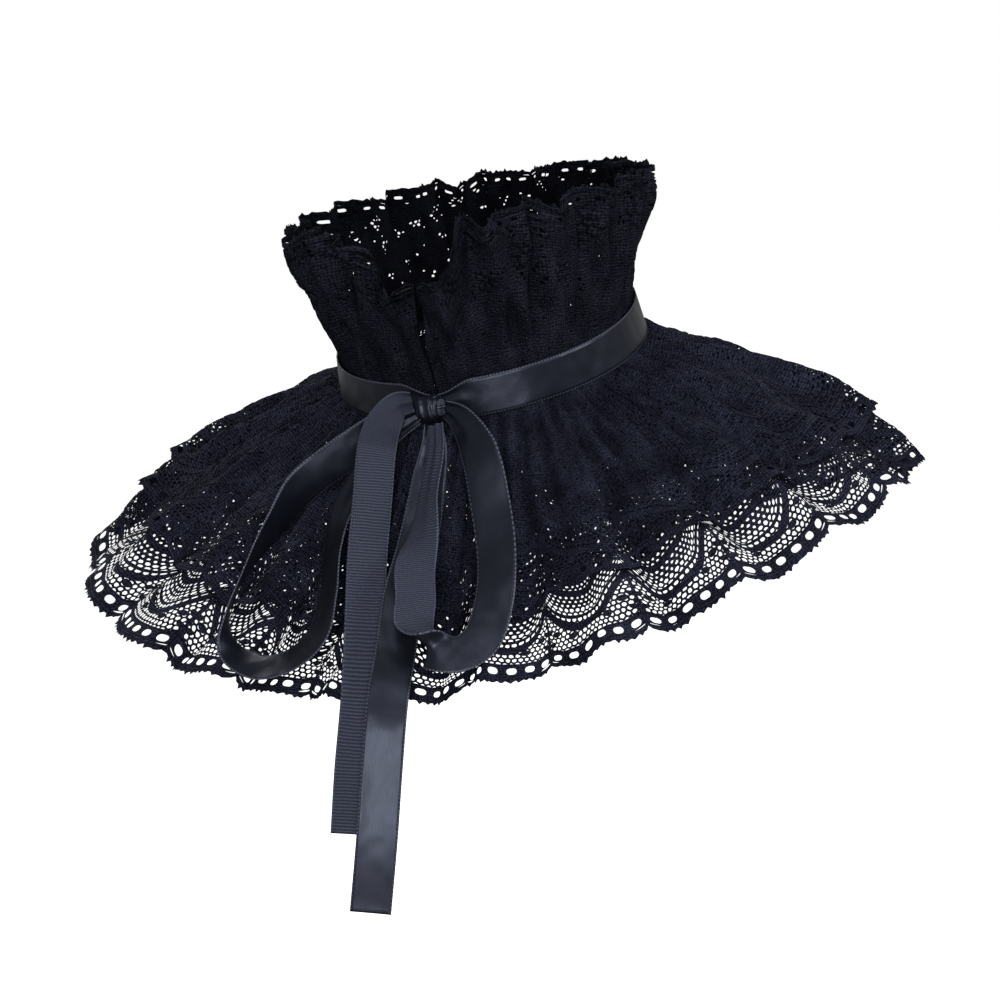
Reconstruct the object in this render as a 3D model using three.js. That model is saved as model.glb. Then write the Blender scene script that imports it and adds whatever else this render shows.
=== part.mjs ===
// A black lace false collar in its worn shape, with nothing inside it. Millimetres. +Z is up, -Y the wearer's
// front, +X the wearer's left. The origin is the middle of the neckline, where the wearer's neck holds it.
// Two gathered lace tiers fall over the shoulders and a gathered frill stands up round the neck. One satin
// ribbon covers the seam between them and is tied in a bow over the front opening.
import * as THREE from 'three';

// Cloth and ribbon
const LACE_WALL = 1.2;
const RIBBON_WALL = 1.0;
const SEAM_GAP = 0.3;

// Neckline
const NECK_TILT = 17.5; // degrees that the neckline drops towards the front
const OPENING_AT = 2; // degrees round the neck from the front to the opening
const OPENING_WIDTH = 1.4; // degrees between the two front edges
const BACK_SEAM_WIDTH = 0.3; // degrees between the two halves of the lower tier

// Lace edge, the same on both tiers and the frill
const EYELETS_PER_SCALLOP = 6;
const EYELET_PITCH = 7;
const EYELET_LENGTH = 4.4;
const EYELET_HEIGHT = 3.4;
const EYELET_FROM_EDGE = 4.4;
const EYELET_MARGIN = 1.1;
const SCALLOP_DEPTH = 5;
const SCALLOPS = { lowerHalf: 13, upper: 24, frill: 14 };

// Cut lengths from the neck seam to the edge
const TIER_LENGTH = 126;
const UPPER_SHARE = 0.78; // the upper tier's length over the lower tier's
const FRILL_LENGTH = 67;

// Gathers
const CAPE_FOLDS = { count: 24, start: 2.1, height: 6.6, sway: 0.8, bulge: 0.16 };
// The lower tier folds with the upper one, but a little less, and less still towards its hem
const LOWER_FOLDS = { share: 0.92, calm: 0.5, calmFrom: 0.75 };
const FRILL_FOLDS = { count: 20, start: 0, height: 4.0, sway: 0.7, bulge: 0.2 };
const TIER_SPACING = 3.6; // how far the lower tier lies under the upper one
const COLUMNS_PER_FOLD = 6;

// The cape's form without its gathers: how far out from the neck's axis, and how high, it lies in five
// directions at each share of its length from the neck seam.
const CAPE_REACH = [
  { along: 0.0, front: 56.3, frontSide: 57.7, side: 59.0, backSide: 57.7, back: 56.3 },
  { along: 0.045, front: 56.6, frontSide: 58.5, side: 60.4, backSide: 59.6, back: 58.0 },
  { along: 0.1, front: 59.8, frontSide: 63.0, side: 66.5, backSide: 66.0, back: 62.5 },
  { along: 0.35, front: 75.5, frontSide: 86.0, side: 98.5, backSide: 93.0, back: 82.0 },
  { along: 0.6, front: 93.5, frontSide: 110.0, side: 128.0, backSide: 119.0, back: 99.5 },
  { along: 0.8, front: 110.0, frontSide: 131.0, side: 152.0, backSide: 138.0, back: 112.5 },
  { along: 1.0, front: 127.0, frontSide: 155.0, side: 174.0, backSide: 155.0, back: 126.0 },
];
const CAPE_LEVEL = [
  { along: 0.0, front: -17.8, frontSide: -12.5, side: 0, backSide: 12.5, back: 17.8 },
  { along: 0.045, front: -23.3, frontSide: -17.8, side: -5.2, backSide: 7.6, back: 12.6 },
  { along: 0.1, front: -29.5, frontSide: -23.0, side: -9.0, backSide: 4.0, back: 7.5 },
  { along: 0.35, front: -56.5, frontSide: -44.5, side: -16.5, backSide: -12.0, back: -17.0 },
  { along: 0.6, front: -81.0, frontSide: -64.0, side: -31.0, backSide: -33.0, back: -43.0 },
  { along: 0.8, front: -100.0, frontSide: -79.0, side: -44.5, backSide: -51.0, back: -64.0 },
  { along: 1.0, front: -117.5, frontSide: -96.5, side: -60.0, backSide: -70.0, back: -85.0 },
];
const CAPE_LEAN = -5; // how far the hem hangs to the wearer's right

// The frill's rings from the neck seam to its rim. height runs along the neck's axis, and tilt is how much
// each ring drops to the front.
const FRILL_RINGS = [
  { along: 0.0, height: 0.8, radius: 59.0, tilt: 17.5 },
  { along: 0.16, height: 11.5, radius: 59.0, tilt: 17.2 },
  { along: 0.5, height: 33.0, radius: 63.5, tilt: 13.0 },
  { along: 0.8, height: 52.0, radius: 67.5, tilt: 9.5 },
  { along: 1.0, height: 65.0, radius: 69.0, tilt: 7.5 },
];
const FRILL_LEAN = { shift: 3.5, lift: 0.035 }; // the rim leans to the wearer's left, and rises there
const FRONT_CORNERS = { drop: 0.38, reach: 16 }; // share of its height the frill loses round the opening

// Ribbon round the neck: a straight strap from one side of the knot to the other
const BAND = { width: 15, radius: 62.0, slope: 0.12, middle: 3.0, taper: 14, knotWidth: 6 };

// The bow. Each row is a point on the middle of the ribbon, the direction of its width, and the width there,
// which is less where the ribbon is drawn into the knot.
const KNOT = { x: 2.5, y: -67.0, z: -17.6, halfWidth: 5.0, halfDepth: 4.6, halfHeight: 5.6 };
const TAIL_UNDER = [
  { x: -3, y: -70, z: -14, wideX: 0.3, wideY: 0.3, wideZ: -0.9, width: 7 },
  { x: -8, y: -73, z: -15, wideX: 0.4, wideY: 0.3, wideZ: -0.9, width: 10 },
  { x: -13, y: -76, z: -22, wideX: 0.7, wideY: 0.3, wideZ: -0.6, width: 14 },
  { x: -15, y: -79, z: -30, wideX: 0.9, wideY: 0.4, wideZ: -0.2, width: 15 },
  { x: -15, y: -87, z: -49, wideX: 0.9, wideY: 0.4, wideZ: -0.2, width: 15 },
  { x: -12, y: -102, z: -70, wideX: 0.9, wideY: 0.4, wideZ: -0.2, width: 15 },
  { x: -8, y: -116, z: -90, wideX: 0.9, wideY: 0.4, wideZ: -0.2, width: 15 },
  { x: -3, y: -135, z: -117, wideX: 0.9, wideY: 0.4, wideZ: -0.2, width: 15 },
  { x: -4, y: -143, z: -141, wideX: 0.9, wideY: 0.4, wideZ: -0.2, width: 15 },
  { x: -6, y: -147, z: -164, wideX: 0.9, wideY: 0.4, wideZ: -0.2, width: 15 },
];
const TAIL_OVER = [
  { x: 3, y: -66, z: -24, wideX: 0.8, wideY: 0.6, wideZ: -0.2, width: 7 },
  { x: 4, y: -69, z: -32, wideX: 0.8, wideY: 0.5, wideZ: -0.3, width: 10 },
  { x: 4, y: -76, z: -44, wideX: 0.8, wideY: 0.5, wideZ: -0.3, width: 13 },
  { x: 5, y: -92, z: -65, wideX: 0.9, wideY: 0.4, wideZ: -0.2, width: 15 },
  { x: 6, y: -110, z: -82, wideX: 0.9, wideY: 0.4, wideZ: -0.2, width: 15 },
  { x: 8, y: -124, z: -99, wideX: 0.9, wideY: 0.4, wideZ: -0.2, width: 15 },
  { x: 10, y: -139, z: -116, wideX: 0.9, wideY: 0.4, wideZ: -0.2, width: 15 },
  { x: 9, y: -147, z: -140, wideX: 0.9, wideY: 0.4, wideZ: -0.2, width: 15 },
  { x: 7, y: -152, z: -164, wideX: 0.9, wideY: 0.4, wideZ: -0.2, width: 15 },
  { x: 3, y: -155, z: -191, wideX: 0.9, wideY: 0.4, wideZ: -0.2, width: 15 },
];
const LOOP_RIGHT_HAND = [
  { x: -3, y: -67, z: -18, wideX: 0, wideY: 0.5, wideZ: -0.9, width: 7 },
  { x: -15, y: -71, z: -22, wideX: 0.4, wideY: 0.4, wideZ: -0.8, width: 11 },
  { x: -31, y: -74, z: -32, wideX: 0.3, wideY: 0.5, wideZ: -0.8, width: 15 },
  { x: -47, y: -80, z: -43, wideX: 0.3, wideY: 0.6, wideZ: -0.7, width: 15 },
  { x: -56, y: -89, z: -56, wideX: 0, wideY: 0.9, wideZ: -0.4, width: 15 },
  { x: -62, y: -104, z: -71, wideX: -0.3, wideY: 0.9, wideZ: -0.1, width: 15 },
  { x: -64, y: -118, z: -86, wideX: -0.4, wideY: 0.9, wideZ: 0.1, width: 15 },
  { x: -59, y: -126, z: -99, wideX: -0.2, wideY: 0.9, wideZ: 0.4, width: 15 },
  { x: -47, y: -129, z: -105, wideX: -0.3, wideY: 0.8, wideZ: 0.4, width: 15 },
  { x: -35, y: -127, z: -103, wideX: -0.5, wideY: 0.8, wideZ: 0.4, width: 15 },
  { x: -26, y: -123, z: -96, wideX: -0.7, wideY: 0.7, wideZ: 0.3, width: 15 },
  { x: -25, y: -112, z: -83, wideX: -0.7, wideY: 0.7, wideZ: 0.1, width: 15 },
  { x: -28, y: -98, z: -66, wideX: -0.7, wideY: 0.7, wideZ: 0.1, width: 15 },
  { x: -28, y: -83, z: -49, wideX: -0.9, wideY: 0.5, wideZ: 0.2, width: 13 },
  { x: -17, y: -70, z: -30, wideX: -0.8, wideY: 0.3, wideZ: 0.4, width: 9 },
  { x: -3, y: -65.5, z: -21, wideX: -0.6, wideY: 0.6, wideZ: 0.5, width: 6 },
];
const LOOP_LEFT_HAND = [
  { x: 9, y: -66, z: -18, wideX: 0.5, wideY: -0.3, wideZ: 0.8, width: 7 },
  { x: 16, y: -69, z: -22, wideX: 0.6, wideY: 0, wideZ: 0.8, width: 11 },
  { x: 25, y: -75, z: -33, wideX: 1, wideY: 0.1, wideZ: 0.3, width: 15 },
  { x: 33, y: -86, z: -51, wideX: 1, wideY: 0.3, wideZ: 0, width: 15 },
  { x: 41, y: -102, z: -72, wideX: 1, wideY: 0, wideZ: -0.1, width: 15 },
  { x: 43, y: -113, z: -87, wideX: 1, wideY: 0, wideZ: -0.2, width: 15 },
  { x: 41, y: -122, z: -98, wideX: 0.8, wideY: -0.2, wideZ: -0.6, width: 15 },
  { x: 34, y: -128, z: -102, wideX: 0.5, wideY: -0.4, wideZ: -0.7, width: 15 },
  { x: 24, y: -130, z: -99, wideX: 0.7, wideY: -0.1, wideZ: -0.8, width: 15 },
  { x: 16, y: -124, z: -92, wideX: 0.8, wideY: 0.2, wideZ: -0.6, width: 15 },
  { x: 14, y: -117, z: -83, wideX: 0.8, wideY: 0.2, wideZ: -0.5, width: 15 },
  { x: 11, y: -109, z: -73, wideX: 0.9, wideY: 0.2, wideZ: -0.4, width: 15 },
  { x: 11, y: -101, z: -63, wideX: 0.9, wideY: -0.3, wideZ: -0.2, width: 14 },
  { x: 9, y: -89, z: -49, wideX: 0.8, wideY: -0.6, wideZ: -0.1, width: 12 },
  { x: 9, y: -78, z: -32, wideX: 0.9, wideY: -0.5, wideZ: -0.1, width: 9 },
  { x: 8, y: -74, z: -23, wideX: 1, wideY: -0.3, wideZ: 0.1, width: 7 },
];

const finish = (name, color, roughness) =>
  new THREE.MeshStandardMaterial({ name, color, roughness, metalness: 0 });
const lace = finish('lace', 0x15151f, 0.9);
const satin = finish('satin', 0x2a2d3a, 0.35);

const radians = THREE.MathUtils.degToRad;
const rise = (low, high, x) => THREE.MathUtils.smoothstep(x, low, high);

// One column of a table at a share between its rows, on a smooth curve through them.
function readColumn(table, name, along) {
  const last = table.length - 1;
  let i = 0;
  while (i < last - 1 && along > table[i + 1].along) i += 1;
  const before = table[Math.max(i - 1, 0)];
  const low = table[i];
  const high = table[i + 1];
  const after = table[Math.min(i + 2, last)];
  const span = high.along - low.along;
  const slopeLow = (high[name] - before[name]) / (high.along - before.along);
  const slopeHigh = (after[name] - low[name]) / (after.along - low.along);
  const t = (along - low.along) / span;
  const bend = t * t * (3 - 2 * t);
  const start = t * (1 - t) * (1 - t) * span * slopeLow;
  const end = t * t * (1 - t) * span * slopeHigh;
  return low[name] + (high[name] - low[name]) * bend + start - end;
}

// A row of five directions as a smooth even curve round the neck. turn is in radians from the front.
function readDirections(table, turn, along) {
  const names = ['front', 'frontSide', 'side', 'backSide', 'back'];
  const [f, fs, s, bs, b] = names.map((name) => readColumn(table, name, along));
  const root = Math.SQRT2;
  return (
    (f + 2 * fs + 2 * s + 2 * bs + b) / 8 +
    ((f + root * fs - root * bs - b) / 4) * Math.cos(turn) +
    ((f - 2 * s + b) / 4) * Math.cos(2 * turn) +
    ((f - root * fs + root * bs - b) / 4) * Math.cos(3 * turn) +
    ((f - 2 * fs + 2 * s - 2 * bs + b) / 8) * Math.cos(4 * turn)
  );
}

// The cape without its gathers.
function capeForm(turn, along) {
  const reach = readDirections(CAPE_REACH, turn, along);
  const x = reach * Math.sin(turn) + CAPE_LEAN * along * along;
  return new THREE.Vector3(x, -reach * Math.cos(turn), readDirections(CAPE_LEVEL, turn, along));
}

// A point on a ring round the neck's axis, at a height along that axis.
function ringPoint(turn, radius, height, tilt) {
  const out = radius * Math.cos(turn);
  return new THREE.Vector3(
    radius * Math.sin(turn),
    -out * Math.cos(radians(tilt)) - height * Math.sin(radians(NECK_TILT)),
    -out * Math.sin(radians(tilt)) + height * Math.cos(radians(NECK_TILT)),
  );
}

// Degrees from the front opening, from -180 to 180.
function fromOpening(turn) {
  const from = turn - radians(OPENING_AT);
  return THREE.MathUtils.radToDeg(Math.atan2(Math.sin(from), Math.cos(from)));
}

// The frill without its gathers. Its corners are rounded off on both sides of the opening.
function frillForm(turn, along) {
  const corner = Math.exp(-((fromOpening(turn) / FRONT_CORNERS.reach) ** 4));
  const height = readColumn(FRILL_RINGS, 'height', along) * (1 - FRONT_CORNERS.drop * corner * along);
  const tilt = readColumn(FRILL_RINGS, 'tilt', along);
  const point = ringPoint(turn, readColumn(FRILL_RINGS, 'radius', along), height, tilt);
  point.z += FRILL_LEAN.lift * point.x * along;
  point.x += FRILL_LEAN.shift * along * along;
  return point;
}

// Across and outward directions of a surface at a point.
function frameAt(surface, turn, along, facing) {
  const step = 1e-3;
  const across = surface(turn + step, along).sub(surface(turn - step, along)).normalize();
  const down = surface(turn, along + step).sub(surface(turn, along - step)).normalize();
  return { across, out: new THREE.Vector3().crossVectors(across, down).multiplyScalar(facing).normalize() };
}

// Lays gathers over a form: crests rise outwards and their flanks bulge sideways. No two are quite alike.
function gathered({ form, facing, folds, height, lift }) {
  return (turn, along) => {
    const { across, out } = frameAt(form, turn, along, facing);
    const drift = 0.05 * Math.sin(2 * turn + 0.5) + 0.035 * Math.sin(5 * turn + 1.2);
    const sway = folds.sway * along * Math.sin(3 * turn + 0.8);
    const phase = folds.start + folds.count * (turn + drift) + sway;
    const wide = 0.24 * Math.sin(3 * turn + 1);
    const narrow = 0.22 * Math.sin(7 * turn + 0.6) + 0.14 * Math.sin(11 * turn);
    const crest = height(along) * (1 + wide + narrow);
    return form(turn, along)
      .addScaledVector(out, crest * Math.cos(phase) + lift(along))
      .addScaledVector(across, -crest * folds.bulge * Math.sin(2 * phase));
  };
}

const upperSurface = gathered({
  form: capeForm,
  facing: -1,
  folds: CAPE_FOLDS,
  height: (along) => CAPE_FOLDS.height * rise(0.03, 1, along),
  lift: () => 0,
});

const calm = (along) => 1 - LOWER_FOLDS.calm * rise(LOWER_FOLDS.calmFrom, 1, along);
const lowerSurface = gathered({
  form: capeForm,
  facing: -1,
  folds: CAPE_FOLDS,
  height: (along) => LOWER_FOLDS.share * CAPE_FOLDS.height * rise(0.03, 1, along) * calm(along),
  lift: (along) => -(LACE_WALL + SEAM_GAP) - (TIER_SPACING - LACE_WALL - SEAM_GAP) * rise(0.05, 0.3, along),
});

const frillSurface = gathered({
  form: frillForm,
  facing: 1,
  folds: FRILL_FOLDS,
  height: (along) => FRILL_FOLDS.height * rise(0.14, 0.95, along),
  lift: () => 0,
});

// A closed wall from a list of corners, each put down twice, outside first, and faces between them.
class Wall {
  constructor(thickness, facing) {
    this.positions = [];
    this.triangles = [];
    this.half = thickness / 2;
    this.facing = facing;
  }

  corner(point, out) {
    const index = this.positions.length / 3;
    this.positions.push(...point.clone().addScaledVector(out, this.half).toArray());
    this.positions.push(...point.clone().addScaledVector(out, -this.half).toArray());
    return index;
  }

  // A triangle on the outside and its twin on the inside. Its corners run across, then down.
  face(a, b, c) {
    const [p, q] = this.facing > 0 ? [b, c] : [c, b];
    this.triangles.push(a, p, q, a + 1, q + 1, p + 1);
  }

  // A fan of faces between a corner and a row of others.
  fan(a, row) {
    for (let i = 0; i < row.length - 1; i += 1) this.face(a, row[i], row[i + 1]);
  }

  // The cut edge between two corners.
  edge(a, b) {
    const [p, q] = this.facing > 0 ? [a, b] : [b, a];
    this.triangles.push(q, p, p + 1, q, p + 1, q + 1);
  }

  // The cut edges round a whole grid of corners.
  rim(grid) {
    const last = grid[0].length - 1;
    for (let i = 0; i < last; i += 1) {
      this.edge(grid[0][i], grid[0][i + 1]);
      this.edge(grid[grid.length - 1][i + 1], grid[grid.length - 1][i]);
    }
    for (let j = 0; j < grid.length - 1; j += 1) {
      this.edge(grid[j + 1][0], grid[j][0]);
      this.edge(grid[j][last], grid[j + 1][last]);
    }
  }

  // Faces between the corners of a whole grid, and its cut edges.
  cover(grid) {
    for (let j = 0; j < grid.length - 1; j += 1) {
      for (let i = 0; i < grid[j].length - 1; i += 1) {
        this.fan(grid[j][i], [grid[j][i + 1], grid[j + 1][i + 1], grid[j + 1][i]]);
      }
    }
    this.rim(grid);
  }

  mesh(name, material) {
    const geometry = new THREE.BufferGeometry();
    geometry.setAttribute('position', new THREE.Float32BufferAttribute(this.positions, 3));
    geometry.setIndex(this.triangles);
    geometry.computeVertexNormals();
    const mesh = new THREE.Mesh(geometry, material);
    mesh.name = name;
    return mesh;
  }
}

// A piece of gathered lace between two turns, in degrees. Its last rows follow the scallops of its edge,
// and the cells of one strip may each have an eyelet cut through.
function lacePiece({ name, surface, facing, from, to, columns, rows, scallops, length, eyeletStrip = -1 }) {
  const wall = new Wall(LACE_WALL, facing);
  const end = rows[rows.length - 1];
  const scallopStart = rows[0] + 0.6 * (end - rows[0]);
  const put = (share, along) => {
    const turn = radians(from + share * (to - from));
    const place = share * scallops;
    const lobe = Math.sqrt(Math.abs(Math.sin(Math.PI * place)));
    const reach = along + (SCALLOP_DEPTH / length) * (lobe - 1) * rise(scallopStart, end, along);
    return wall.corner(surface(turn, reach), frameAt(surface, turn, reach, facing).out);
  };
  const grid = rows.map((along) => Array.from({ length: columns + 1 }, (_, i) => put(i / columns, along)));
  for (let j = 0; j < rows.length - 1; j += 1) {
    for (let i = 0; i < columns; i += 1) {
      const [a, b, c, d] = [grid[j][i], grid[j][i + 1], grid[j + 1][i + 1], grid[j + 1][i]];
      if (j !== eyeletStrip) {
        wall.fan(a, [b, c, d]);
        continue;
      }
      const hole = Array.from({ length: 6 }, (_, k) => {
        const angle = (k * Math.PI) / 3;
        const across = (EYELET_LENGTH / EYELET_PITCH / 2) * Math.cos(angle);
        const down = (EYELET_HEIGHT / length / 2) * (Math.sin(angle) / Math.sin(Math.PI / 3));
        return put((i + 0.5 + across) / columns, (rows[j] + rows[j + 1]) / 2 + down);
      });
      wall.fan(c, [hole[1], hole[0], b]);
      wall.fan(d, [hole[3], hole[2], hole[1], c]);
      wall.fan(a, [hole[5], hole[4], hole[3], d]);
      wall.face(a, b, hole[5]);
      wall.face(b, hole[0], hole[5]);
      hole.forEach((corner, k) => wall.edge(hole[(k + 1) % 6], corner));
    }
  }
  wall.rim(grid);
  return wall.mesh(name, lace);
}

// A length of ribbon along a table of points, on a smooth curve through them.
function ribbon(name, table, steps) {
  const wall = new Wall(RIBBON_WALL, 1);
  const middle = new THREE.CatmullRomCurve3(table.map((row) => new THREE.Vector3(row.x, row.y, row.z)));
  const widths = table.map((row) => new THREE.Vector3(row.wideX, row.wideY, row.wideZ));
  const wide = new THREE.CatmullRomCurve3(widths);
  const grid = [0, 0.5, 1].map((side) =>
    Array.from({ length: steps + 1 }, (_, i) => {
      const t = i / steps;
      const place = t * (table.length - 1);
      const row = table[Math.floor(place)];
      const next = table[Math.min(Math.floor(place) + 1, table.length - 1)];
      const width = row.width + (next.width - row.width) * (place - Math.floor(place));
      const along = middle.getTangent(t);
      const across = wide.getPoint(t);
      across.addScaledVector(along, -across.dot(along)).normalize();
      const out = new THREE.Vector3().crossVectors(along, across);
      return wall.corner(middle.getPoint(t).addScaledVector(across, (side - 0.5) * width), out);
    }),
  );
  wall.cover(grid);
  return wall.mesh(name, satin);
}

// The ribbon round the neck, from one side of the knot to the other.
function neckBand() {
  const wall = new Wall(RIBBON_WALL, 1);
  const steps = 72;
  const knotAt = THREE.MathUtils.radToDeg(Math.asin(KNOT.x / BAND.radius));
  const start = knotAt + 0.6;
  const grid = [-0.5, 0, 0.5].map((side) =>
    Array.from({ length: steps + 1 }, (_, i) => {
      const degrees = start + (i / steps) * (360 - 1.2);
      const fromKnot = Math.min(degrees - start, start + 358.8 - degrees);
      const width = BAND.knotWidth + (BAND.width - BAND.knotWidth) * rise(0, BAND.taper, fromKnot);
      const height = BAND.middle + side * width;
      const surface = (turn, up) => ringPoint(turn, BAND.radius - BAND.slope * up, up, NECK_TILT);
      const turn = radians(degrees);
      const out = new THREE.Vector3(Math.sin(turn), -Math.cos(turn) * Math.cos(radians(NECK_TILT)), 0);
      out.z = -Math.cos(turn) * Math.sin(radians(NECK_TILT)) + BAND.slope;
      return wall.corner(surface(turn, height), out.normalize());
    }),
  );
  wall.cover(grid);
  return wall.mesh('neck_ribbon', satin);
}

// The knot: the ribbon wrapped once over itself, a rounded block.
function bowKnot() {
  const geometry = new THREE.SphereGeometry(1, 16, 10);
  const position = geometry.attributes.position;
  for (let i = 0; i < position.count; i += 1) {
    const point = new THREE.Vector3().fromBufferAttribute(position, i);
    const square = (value) => Math.sign(value) * Math.abs(value) ** 0.7;
    position.setXYZ(
      i,
      KNOT.x + KNOT.halfWidth * square(point.x),
      KNOT.y - KNOT.halfDepth * square(point.z),
      KNOT.z + KNOT.halfHeight * square(point.y),
    );
  }
  geometry.computeVertexNormals();
  const mesh = new THREE.Mesh(geometry, satin);
  mesh.name = 'bow_knot';
  return mesh;
}

const tierFrom = OPENING_AT + OPENING_WIDTH / 2;
const tierTo = 360 + OPENING_AT - OPENING_WIDTH / 2;
const backSeam = 180 + OPENING_AT;
const stripMiddle = 1 - EYELET_FROM_EDGE / TIER_LENGTH;
const stripHalf = (EYELET_HEIGHT / 2 + EYELET_MARGIN) / TIER_LENGTH;
const lowerTier = {
  surface: lowerSurface,
  facing: -1,
  columns: SCALLOPS.lowerHalf * EYELETS_PER_SCALLOP,
  rows: [0.05, 0.14, 0.42, 0.78, stripMiddle - stripHalf, stripMiddle + stripHalf, 1],
  scallops: SCALLOPS.lowerHalf,
  length: TIER_LENGTH,
  eyeletStrip: 4,
};

const collar = new THREE.Group();
collar.add(
  lacePiece({ ...lowerTier, name: 'lower_tier_left', from: tierFrom, to: backSeam - BACK_SEAM_WIDTH / 2 }),
  lacePiece({ ...lowerTier, name: 'lower_tier_right', from: backSeam + BACK_SEAM_WIDTH / 2, to: tierTo }),
  lacePiece({
    name: 'upper_tier',
    surface: upperSurface,
    facing: -1,
    from: tierFrom,
    to: tierTo,
    columns: CAPE_FOLDS.count * COLUMNS_PER_FOLD,
    rows: [0, 0.05, 0.14, 0.42, UPPER_SHARE],
    scallops: SCALLOPS.upper,
    length: TIER_LENGTH,
  }),
  lacePiece({
    name: 'standing_frill',
    surface: frillSurface,
    facing: 1,
    from: tierFrom,
    to: tierTo,
    columns: FRILL_FOLDS.count * COLUMNS_PER_FOLD,
    rows: [0, 0.16, 0.44, 0.74, 1],
    scallops: SCALLOPS.frill,
    length: FRILL_LENGTH,
  }),
  neckBand(),
  bowKnot(),
  ribbon('bow_loop_right', LOOP_RIGHT_HAND, 44),
  ribbon('bow_loop_left', LOOP_LEFT_HAND, 38),
  ribbon('tail_under', TAIL_UNDER, 20),
  ribbon('tail_over', TAIL_OVER, 20),
);
export default collar;
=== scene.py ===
# %% [markdown]
# # A black lace false collar, worn shape, with nothing in it
# A false collar is a bit of finery that ties on over a dress. This one is three gathered strips of
# scalloped lace on one neck seam: a frill that stands up, and two tiers that fall over the shoulders. A
# satin ribbon covers the seam and is tied in a bow at the front. We load the measured model first. It
# fixes where every piece goes, and each lace or ribbon piece below stands for one of its solids.

import bmesh
import bpy
import numpy as np
from mathutils import Matrix, Vector


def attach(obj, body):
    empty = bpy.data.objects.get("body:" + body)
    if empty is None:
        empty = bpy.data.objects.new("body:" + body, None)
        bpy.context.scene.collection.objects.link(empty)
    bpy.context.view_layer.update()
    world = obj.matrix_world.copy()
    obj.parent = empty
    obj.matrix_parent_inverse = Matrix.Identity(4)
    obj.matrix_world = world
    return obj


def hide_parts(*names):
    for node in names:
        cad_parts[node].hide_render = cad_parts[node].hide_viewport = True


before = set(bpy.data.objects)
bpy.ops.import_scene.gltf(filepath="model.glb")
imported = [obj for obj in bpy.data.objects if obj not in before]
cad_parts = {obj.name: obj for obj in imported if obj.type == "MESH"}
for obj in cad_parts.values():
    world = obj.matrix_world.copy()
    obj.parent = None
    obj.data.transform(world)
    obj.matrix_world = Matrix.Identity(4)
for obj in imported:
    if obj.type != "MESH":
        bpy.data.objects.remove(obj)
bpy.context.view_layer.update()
print("solids:", ", ".join(sorted(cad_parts)))

# %% [markdown]
# ## The camera
# The photograph was taken from a little to the wearer's left, almost level, with a short telephoto
# lens, and the camera leaned by a few degrees. The neck's middle is a named spot in the picture, so the
# camera is aimed at the picture's middle from there. No lens shift is needed.

# %% Put the camera where the photograph was taken
PICTURE_SIZE = 1000
NECK_IN_PICTURE = (491, 348)
CAMERA_AZIMUTH = np.radians(24.5)
CAMERA_ELEVATION = np.radians(3.0)
CAMERA_LEAN = np.radians(5.2)
CAMERA_DISTANCE = 1.222
LENS = 110
SENSOR = 36


def camera_axes():
    """The camera's right, up and back directions when its middle looks at the neck."""
    back = Vector((
        np.sin(CAMERA_AZIMUTH) * np.cos(CAMERA_ELEVATION),
        -np.cos(CAMERA_AZIMUTH) * np.cos(CAMERA_ELEVATION),
        np.sin(CAMERA_ELEVATION),
    ))
    level = Vector((np.cos(CAMERA_AZIMUTH), np.sin(CAMERA_AZIMUTH), 0))
    upright = back.cross(level)
    right = level * np.cos(CAMERA_LEAN) - upright * np.sin(CAMERA_LEAN)
    return right, back.cross(right), back


right, up, back = camera_axes()
pixels_per_radian = LENS / SENSOR * PICTURE_SIZE
aside = (PICTURE_SIZE / 2 - NECK_IN_PICTURE[0]) / pixels_per_radian
below = (PICTURE_SIZE / 2 - NECK_IN_PICTURE[1]) / pixels_per_radian
aim = (back - right * aside + up * below).normalized()
across = (right - aim * right.dot(aim)).normalized()
turned = Matrix((across, aim.cross(across), aim)).transposed().to_4x4()
camera = bpy.data.objects.new("camera", bpy.data.cameras.new("camera"))
camera.data.lens = LENS
camera.data.sensor_width = SENSOR
camera.matrix_world = Matrix.Translation(back * CAMERA_DISTANCE) @ turned
bpy.context.collection.objects.link(camera)
bpy.context.scene.camera = camera
print("camera at", [round(x, 3) for x in camera.location])

# %% [markdown]
# ## The collar's measures
# Every piece hangs on the same few measures, in millimetres, from the neck seam out. The tiers are
# described by how far out and how low the bare cloth lies in five directions, and the frill by rings
# round the neck. These are the solids' own measures, so lace laid over them fits them.

# %% Measures of the cloth
MM = 0.001
NECK_TILT = 17.5
OPENING_AT = 2.0
OPENING_WIDTH = 1.4
BACK_SEAM_WIDTH = 0.3
TIER_LENGTH = 126
UPPER_SHARE = 0.78
FRILL_LENGTH = 67
SCALLOP = 42
SCALLOP_DEPTH = 5
SCALLOPS = {"lower half": 13, "upper half": 12, "frill": 14}
AT_THE_SEAM = 1.5
TIER_SPACING = 3.6

DIRECTIONS = ("front", "front side", "side", "back side", "back")
CAPE_ALONG = [0.0, 0.045, 0.1, 0.35, 0.6, 0.8, 1.0]
CAPE_REACH = {
    "front": [56.3, 56.6, 59.8, 75.5, 93.5, 110.0, 127.0],
    "front side": [57.7, 58.5, 63.0, 86.0, 110.0, 131.0, 155.0],
    "side": [59.0, 60.4, 66.5, 98.5, 128.0, 152.0, 174.0],
    "back side": [57.7, 59.6, 66.0, 93.0, 119.0, 138.0, 155.0],
    "back": [56.3, 58.0, 62.5, 82.0, 99.5, 112.5, 126.0],
}
CAPE_LEVEL = {
    "front": [-17.8, -23.3, -29.5, -56.5, -81.0, -100.0, -117.5],
    "front side": [-12.5, -17.8, -23.0, -44.5, -64.0, -79.0, -96.5],
    "side": [0.0, -5.2, -9.0, -16.5, -31.0, -44.5, -60.0],
    "back side": [12.5, 7.6, 4.0, -12.0, -33.0, -51.0, -70.0],
    "back": [17.8, 12.6, 7.5, -17.0, -43.0, -64.0, -85.0],
}
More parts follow.
